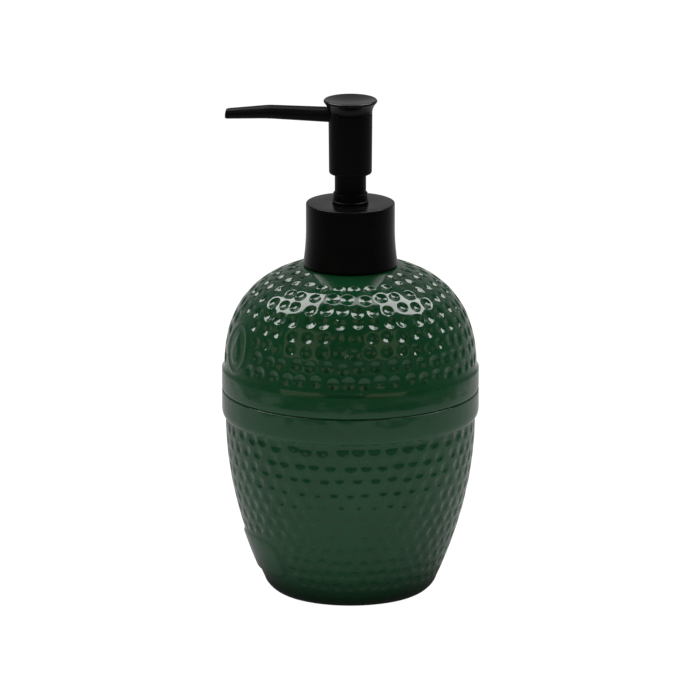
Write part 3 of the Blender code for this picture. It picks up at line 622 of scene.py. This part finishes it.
rim_round = 0.65 * MM
dish_depth = 1.1 * MM
dish_lip = 0.055 * MM
plug_r = barrel_bore - 0.1 * MM
plug_bore = plug_r - 1.1 * MM
roof_z = head_top - dish_depth - 1.3 * MM
flare_z = seam_z + 0.3 * MM
sweep = np.radians(np.linspace(-50, 110, 22))
rim_middle = (rim_r - rim_round, head_top - rim_round)
rim = rim_middle + rim_round * np.stack([np.cos(sweep), np.sin(sweep)], axis=-1)
share = np.linspace(0, 0.94, 14)
flare = np.stack([barrel_top_r + (rim[0, 0] - barrel_top_r) * share ** 2.2,
                  flare_z + (rim[0, 1] - flare_z) * share], axis=-1)
share = np.linspace(0.97, 0, 20)
dish = np.stack([rim[-1, 0] * share, head_top - dish_lip - dish_depth * (1 - share ** 2) ** 1.15], axis=-1)
under = rounded([
    (0, roof_z, 0), (plug_bore, roof_z, 0.3 * MM), (plug_bore, plug_z, 0.2 * MM), (plug_r, plug_z, 0.2 * MM),
    (plug_r, flare_z, 0), (barrel_top_r - 0.1 * MM, flare_z, 0),
])
cap = turned("head_cap_moulding", np.concatenate([under, flare, rim, dish]), 128, poles=True)
places, normals = np.empty((2, len(cap.data.vertices), 3), np.float32)
cap.data.vertices.foreach_get("co", places.ravel())
cap.data.vertex_normals.foreach_get("vector", normals.ravel())
mark_vertices(cap, "thumb", (places[:, 2] > head_top - 2 * rim_round) & (normals[:, 2] > 0.7))
fit_out(cap, "head", "head_cap", top_finish)


# --- Spout ----------------------------------------------------------------------------------------
# A tapering black tube moulded separately and pressed sideways into the head. It runs level from the
# barrel, and past its bend it dips a few degrees down to the open tip.

SPOUT_TURN = math.radians(-35)
SPOUT_DIP = math.radians(5.4)
SPOUT_BEND = (28.5 * MM, 34.5 * MM)
SPOUT_BORE = 1.3 * MM
SPOUT_OUT = np.array([2.5, 9, 31.5, 46.9, 47.4, 47.68, 47.78]) * MM         # from the head's axis
SPOUT_RADII = np.array([2.9, 2.9, 2.62, 2.05, 1.98, 1.86, 1.72]) * MM       # there
SPOUT_SIDES = 40


def swept_spout(spout_z):
    """A tube carried along a line whose slope eases from level to the dip round the bend.

    Out along the outer radius, over the rounded tip, and back inside along the bore.
    """
    reach = np.concatenate([np.linspace(SPOUT_OUT[0], SPOUT_OUT[3], 70), SPOUT_OUT[4:]])
    slope = SPOUT_DIP * step(reach, *SPOUT_BEND)
    drop = np.concatenate([[0], np.cumsum(np.diff(reach) * np.tan(0.5 * (slope[1:] + slope[:-1])))])
    outer = np.interp(reach, SPOUT_OUT, SPOUT_RADII)
    bore = np.full_like(reach, SPOUT_BORE)
    bore[-2:] += np.array([0.04, 0.12]) * MM
    reach = np.concatenate([reach, reach[::-1]])
    drop = np.concatenate([drop, drop[::-1]])
    slope = np.concatenate([slope, slope[::-1]])
    radius = np.concatenate([outer, bore[::-1]])
    angle = np.arange(SPOUT_SIDES) * TURN / SPOUT_SIDES
    side = radius[:, None] * np.cos(angle)
    up = radius[:, None] * np.sin(angle)
    out = reach[:, None] - up * np.sin(slope)[:, None]
    z = spout_z - drop[:, None] + up * np.cos(slope)[:, None]
    x = side * math.cos(SPOUT_TURN) + out * math.sin(SPOUT_TURN)
    y = side * math.sin(SPOUT_TURN) - out * math.cos(SPOUT_TURN)
    return np.stack([x, y, z], axis=-1)


spout = make_piece("spout_tube", swept_spout(seam_z - 0.7 * MM))
spout.data.set_sharp_from_angle(angle=math.radians(60))
fit_out(spout, "head", "spout", side_finish)


# --- Threaded parts -------------------------------------------------------------------------------
# Pale polypropylene neck glued into the bottle's mouth, and the black threaded cap inside the collar's
# shell. Both keep their turned shapes, with the sheen and faint flow marks of the moulding.


def pale_plastic(name, light, dark, rough, through):
    """Natural polypropylene: cloudy, slightly translucent, with flow marks drawn out along the axis."""
    mix = Recipe(name, IOR=1.49, Subsurface_Weight=through, Subsurface_Radius=(0.004, 0.004, 0.003),
                 Subsurface_Scale=0.5)
    stretch = mix.add("ShaderNodeMapping", Vector=mix.place, Scale=(1, 1, 0.25)).outputs[0]
    flow = mix.noise(260, 3, stretch)
    colour = mix.ramp(flow, [(0.35, dark), (0.65, light)])
    sheen = mix.ramp(mix.noise(90, 2), [(0.3, rough - 0.06), (0.7, rough + 0.06)])
    skin = mix.bump(mix.noise(3200, 2), 0.2, 0.00005)
    return mix.drive(Base_Color=colour, Roughness=sheen, Normal=skin)


def refinish(node, finish):
    """Puts a finish on a CAD node's material slots."""
    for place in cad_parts[node].material_slots:
        place.material = finish


refinish("neck_insert", pale_plastic("neck_plastic", (0.76, 0.77, 0.75), (0.68, 0.69, 0.67), 0.45, 0.1))
refinish("collar_cap", side_finish)


# --- Pump works -----------------------------------------------------------------------------------
# What hangs in the bottle: housing, ball cage, rod, rod seat, piston and dip tube moulded or drawn in
# natural plastic, the steel spring and ball, and the foam seal under the housing's flange.

natural_finish = pale_plastic("natural_plastic", (0.84, 0.85, 0.82), (0.74, 0.76, 0.73), 0.38, 0.25)
for node in ("pump_housing", "ball_cage", "piston_rod", "rod_seat", "piston", "dip_tube"):
    refinish(node, natural_finish)


def wire_steel(name, rough, streak):
    """Bright drawn steel: fine streaks and a slightly warm, uneven sheen."""
    mix = Recipe(name, Metallic=1.0)
    fine = mix.noise(streak, 3)
    colour = mix.ramp(fine, [(0.3, (0.50, 0.49, 0.47)), (0.7, (0.66, 0.66, 0.65))])
    sheen = mix.ramp(fine, [(0.3, rough), (0.7, rough + 0.12)])
    skin = mix.bump(fine, 0.2, 0.00003)
    return mix.drive(Base_Color=colour, Roughness=sheen, Normal=skin)


def foam_seal():
    """Closed-cell foam: pale, with a pitted skin."""
    mix = Recipe("seal_foam")
    cells = mix.add("ShaderNodeTexVoronoi", Scale=2400.0, Vector=mix.place).outputs[0]
    colour = mix.ramp(cells, [(0.1, (0.70, 0.70, 0.67)), (0.6, (0.84, 0.84, 0.81))])
    return mix.drive(Base_Color=colour, Roughness=mix.ramp(cells, [(0.0, 0.95), (1.0, 0.8)]),
                     Normal=mix.bump(cells, 0.5, 0.0001))


refinish("return_spring", wire_steel("spring_steel", 0.22, 3000))
refinish("inlet_ball", wire_steel("ball_steel", 0.08, 900))
refinish("gasket", foam_seal())


# --- Studio ---------------------------------------------------------------------------------------
# A white table under two overhead softboxes and a narrow strip between them. Warm cards stand low at
# both sides, and small bare lamps near the camera give the dimples their pin-point glints.

CAMERA_TURN = 67.0
CAMERA_RISE = 14.5
CAMERA_FAR = 3.5
LOOK_AT = Vector((0, 0, 92.25 * MM))
LIGHTS_FAR = 0.9
SOFTBOX = (0.43, 0.55)
CARD_BROWN = (0.50, 0.45, 0.30)


def bearing(azimuth, rise):
    """A unit vector at a turn to the right of the camera and a rise above the horizon, in degrees."""
    turn = math.radians(CAMERA_TURN + azimuth)
    rise = math.radians(rise)
    return Vector((math.sin(turn) * math.cos(rise), -math.cos(turn) * math.cos(rise), math.sin(rise)))


def aim(thing, place):
    """Puts a thing at a place and turns it to face the middle of the object."""
    thing.location = place
    thing.rotation_euler = (LOOK_AT - place).to_track_quat("-Z", "Y").to_euler()
    bpy.context.collection.objects.link(thing)


def lamp(name, direction, far, size, radiance, colour=(1, 1, 1)):
    """A rectangular lamp of a given radiance, facing the object and out of the camera's sight."""
    light = bpy.data.lights.new(name, "AREA")
    light.shape = "RECTANGLE"
    light.size, light.size_y = size
    light.energy = math.pi * size[0] * size[1] * radiance
    light.color = colour
    thing = bpy.data.objects.new(name, light)
    aim(thing, LOOK_AT + direction.normalized() * far)
    thing.visible_camera = False
    return thing


camera = bpy.data.objects.new("camera", bpy.data.cameras.new("camera"))
camera.data.lens = 478
camera.data.sensor_width = 36
camera.data.shift_x = -0.0006
camera.data.clip_end = 20
aim(camera, LOOK_AT + bearing(0, CAMERA_RISE) * CAMERA_FAR)
bpy.context.scene.camera = camera
bpy.context.scene.view_settings.view_transform = "Standard"

toward, right, up = bearing(0, 0), bearing(90, 0), Vector((0, 0, 1))
lamp("softbox_left", -0.52 * right - 0.22 * toward + 0.82 * up, LIGHTS_FAR, SOFTBOX, 8.0)
lamp("softbox_right", 0.52 * right - 0.20 * toward + 0.82 * up, LIGHTS_FAR, SOFTBOX, 8.0)
lamp("overhead_strip", -0.10 * toward + up, LIGHTS_FAR, (0.50, 0.16), 4.0)
lamp("card_left", bearing(-47, 26), LIGHTS_FAR, (0.62, 0.56), 1.0, CARD_BROWN)
lamp("card_right", bearing(35, 30), LIGHTS_FAR, (0.54, 0.46), 1.0, CARD_BROWN)
for number, (azimuth, rise) in enumerate(((-6, 22), (4, 27), (9, 19))):
    lamp(f"bare_lamp_{number}", bearing(azimuth, rise), 1.6, (0.02, 0.02), 120)


DISC_SIDES = 96


def disc(name, radius, z):
    """A round sheet of one face, facing up."""
    angle = np.arange(DISC_SIDES) * TURN / DISC_SIDES
    points = np.stack([radius * np.cos(angle), radius * np.sin(angle), z + 0 * angle], axis=-1)
    mesh = bpy.data.meshes.new(name)
    mesh.from_pydata(points.tolist(), [], [list(range(DISC_SIDES))])
    thing = bpy.data.objects.new(name, mesh)
    bpy.context.collection.objects.link(thing)
    return thing


def table_white():
    """Plain white table top that shows as pure white, with a faint cloudiness."""
    mix = Recipe("table_white", Roughness=0.9, Emission_Color=(1, 1, 1, 1), Emission_Strength=1.0)
    return mix.drive(Base_Color=mix.ramp(mix.noise(40, 3), [(0.3, 0.03), (0.7, 0.05)]))


def table_glow(name, stops, strength):
    """What the table sends up at the object: a glow, weaker where the object stands in its own shade."""
    mix = Recipe(name)
    flat = mix.add("ShaderNodeVectorMath", operation="LENGTH")
    mix.tree.links.new(mix.place, flat.inputs[0])
    lit = mix.add("ShaderNodeEmission", Color=mix.ramp(flat.outputs["Value"], stops), Strength=strength)
    mix.tree.links.new(lit.outputs[0], mix.tree.nodes["Material Output"].inputs[0])
    return mix.material


def seen_only_by(thing, **rays):
    """Lets only the given kinds of ray meet a thing."""
    for kind in ("camera", "glossy", "diffuse", "transmission", "shadow"):
        setattr(thing, f"visible_{kind}", rays.get(kind, False))


# The table is three discs, one for each kind of ray: what the camera sees, what the glaze mirrors and
# what lights the underside.
table = disc("table", 3.0, -0.1 * MM)
table.data.materials.append(table_white())
seen_only_by(table, camera=True, shadow=True)
sheen = disc("table_sheen", 0.34, -0.2 * MM)
sheen.data.materials.append(table_glow("table_sheen", [(0.034, 0.10), (0.055, 0.75), (0.10, 1.0)], 0.46))
seen_only_by(sheen, glossy=True)
bounce = disc("table_bounce", 1.5, -0.3 * MM)
bounce.data.materials.append(table_glow("table_bounce", [(0.034, 0.12), (0.075, 0.75), (0.14, 1.0)], 1.75))
seen_only_by(bounce, diffuse=True)


class Backdrop(Recipe):
    """The room round the table under construction, by the same short calls as a material."""

    def __init__(self, name):
        self.world = bpy.data.worlds.new(name)
        self.world.use_nodes = True
        self.tree = self.world.node_tree
        self.place = self.add("ShaderNodeTexCoord").outputs["Generated"]


room = Backdrop("studio")
bpy.context.scene.world = room.world
facing = room.add("ShaderNodeVectorMath", operation="DOT_PRODUCT")
facing.inputs[1].default_value = toward
room.tree.links.new(room.place, facing.inputs[0])
around = room.math("MULTIPLY_ADD", facing.outputs["Value"], 0.5, 0.5)      # 0 behind the object, 1 in front
height = room.add("ShaderNodeSeparateXYZ", Vector=room.place).outputs[2]
walls = room.ramp(around, [(0.0, 0.34), (0.10, 0.25), (0.36, 0.10), (0.75, 0.025)])
front = room.ramp(around, [(0.62, 0.0), (0.80, 1.0)])
low = room.ramp(height, [(0.0, 0.0), (0.02, 1.0), (0.26, 1.0), (0.38, 0.0)])
glow = room.math("MULTIPLY", room.math("MULTIPLY", front, low), 0.12)
lit = room.mix(1.0, walls, glow, "ADD")
gain = room.math("MULTIPLY_ADD", room.math("LESS_THAN", height, 0.0), 0.6, 1.0)
sight = room.add("ShaderNodeLightPath").outputs["Is Camera Ray"]
background = room.tree.nodes["Background"]
room.tree.links.new(room.mix(sight, lit, (1, 1, 1)), background.inputs["Color"])
room.tree.links.new(gain, background.inputs["Strength"])
